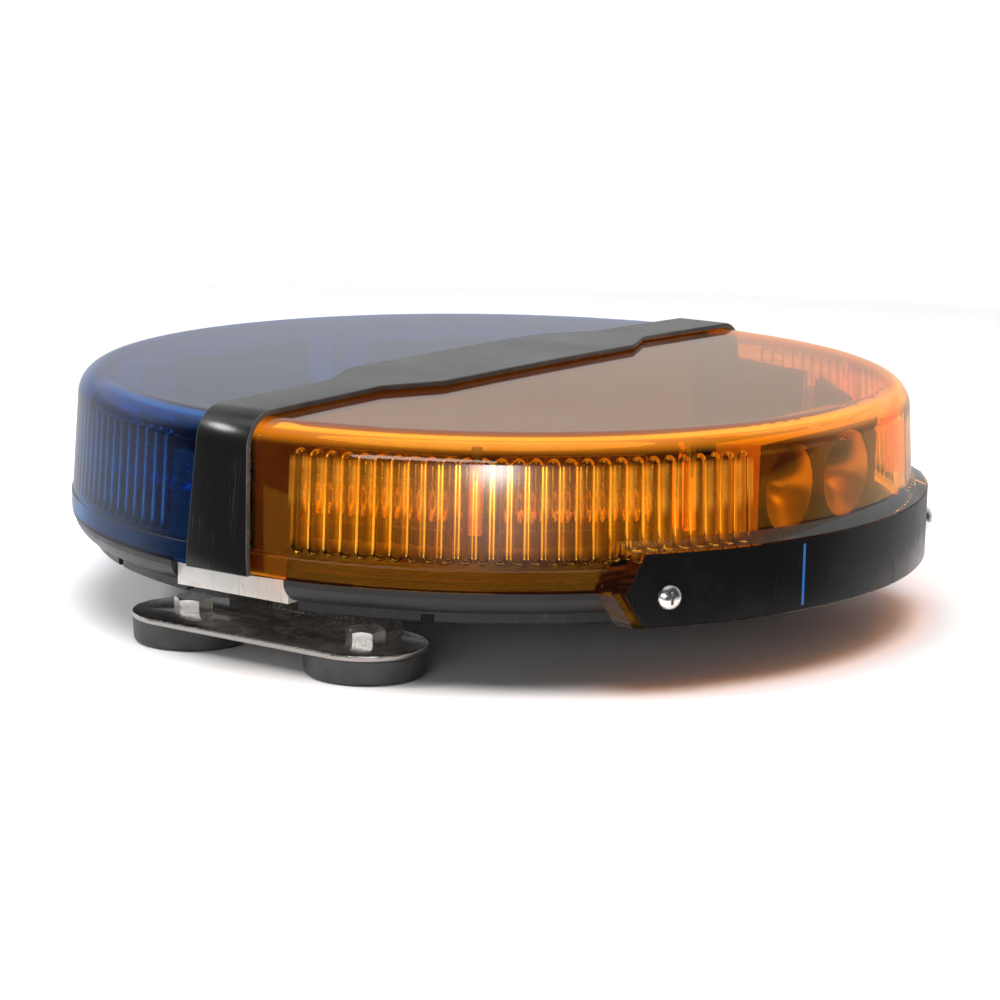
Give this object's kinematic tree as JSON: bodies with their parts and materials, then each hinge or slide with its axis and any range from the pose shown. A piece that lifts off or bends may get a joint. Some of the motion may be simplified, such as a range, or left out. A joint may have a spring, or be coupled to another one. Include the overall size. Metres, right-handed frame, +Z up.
{
  "type": "magnetic mount warning light",
  "caption": "Low round LED warning light: fluted amber and blue lens halves under a black strap, on bolted rubber-booted pot magnets.",
  "frame": {"origin": "on the surface that the magnets stand on, under the centre of the round body", "axes": "+Z up; +Y along the centre strap; +X towards the amber half"},
  "size_m": [0.3508, 0.3454, 0.0989],
  "materials": {
    "black_plastic": "satin moulded plastic",
    "gloss_black": "glossy moulded plastic",
    "grey_plastic": "matt opaque",
    "amber_lens": "clear tinted polycarbonate, fluted inside",
    "blue_lens": "clear tinted polycarbonate, fluted inside",
    "label": "printed film with two plain blue bars",
    "black_rubber": "soft",
    "boot_rubber": "satin moulded rubber",
    "stainless": "polished stainless sheet",
    "zinc_steel": "bright zinc",
    "screw_steel": "bright nickel",
    "cup_steel": "zinc-plated steel",
    "ferrite": "sintered magnet",
    "aluminium": "rolled sheet",
    "brass": "turned",
    "circuit_board": "white solder mask",
    "black_components": "moulded packages",
    "terminal_plastic": "moulded",
    "clear_optic": "clear acrylic",
    "reflector_chrome": "vacuum-metallised"
  },
  "bodies": {
    "root": {"amber_lens": "amber_lens", "base_tray": "black_plastic", "blue_lens": "blue_lens", "board_components": "black_components", "board_standoffs": "brass", "bracket_bolts": "zinc_steel", "bracket_nuts": "zinc_steel", "cable_gland": "black_rubber", "centre_strap": "gloss_black", "chassis_plate": "aluminium", "control_board": "circuit_board", "front_bracket": "stainless", "label_plate": "label", "led_board_1": "circuit_board", "led_board_2": "circuit_board", "led_board_3": "circuit_board", "led_board_4": "circuit_board", "led_board_5": "circuit_board", "led_board_6": "circuit_board", "led_board_7": "circuit_board", "led_board_8": "circuit_board", "led_bracket_1": "aluminium", "led_bracket_2": "aluminium", "led_bracket_3": "aluminium", "led_bracket_4": "aluminium", "led_bracket_5": "aluminium", "led_bracket_6": "aluminium", "led_bracket_7": "aluminium", "led_bracket_8": "aluminium", "led_optic_1": "clear_optic", "led_optic_2": "clear_optic", "led_optic_3": "clear_optic", "led_optic_4": "clear_optic", "led_optic_5": "clear_optic", "led_optic_6": "clear_optic", "led_optic_7": "clear_optic", "led_optic_8": "clear_optic", "lens_screws": "screw_steel", "lens_seal": "black_rubber", "light_divider": "grey_plastic", "magnet_bolts": "zinc_steel", "magnet_boot_1": "boot_rubber", "magnet_boot_2": "boot_rubber", "magnet_boot_3": "boot_rubber", "magnet_boot_4": "boot_rubber", "magnet_cup_1": "cup_steel", "magnet_cup_2": "cup_steel", "magnet_cup_3": "cup_steel", "magnet_cup_4": "cup_steel", "magnet_rings": "ferrite", "rear_bracket": "stainless", "small_screws": "screw_steel", "terminal_block": "terminal_plastic", "vent_plug": "black_plastic", "window_board_amber": "circuit_board", "window_board_blue": "circuit_board", "window_reflector_amber": "reflector_chrome", "window_reflector_blue": "reflector_chrome", "wiring": "black_rubber"}
  },
  "joints": []
}
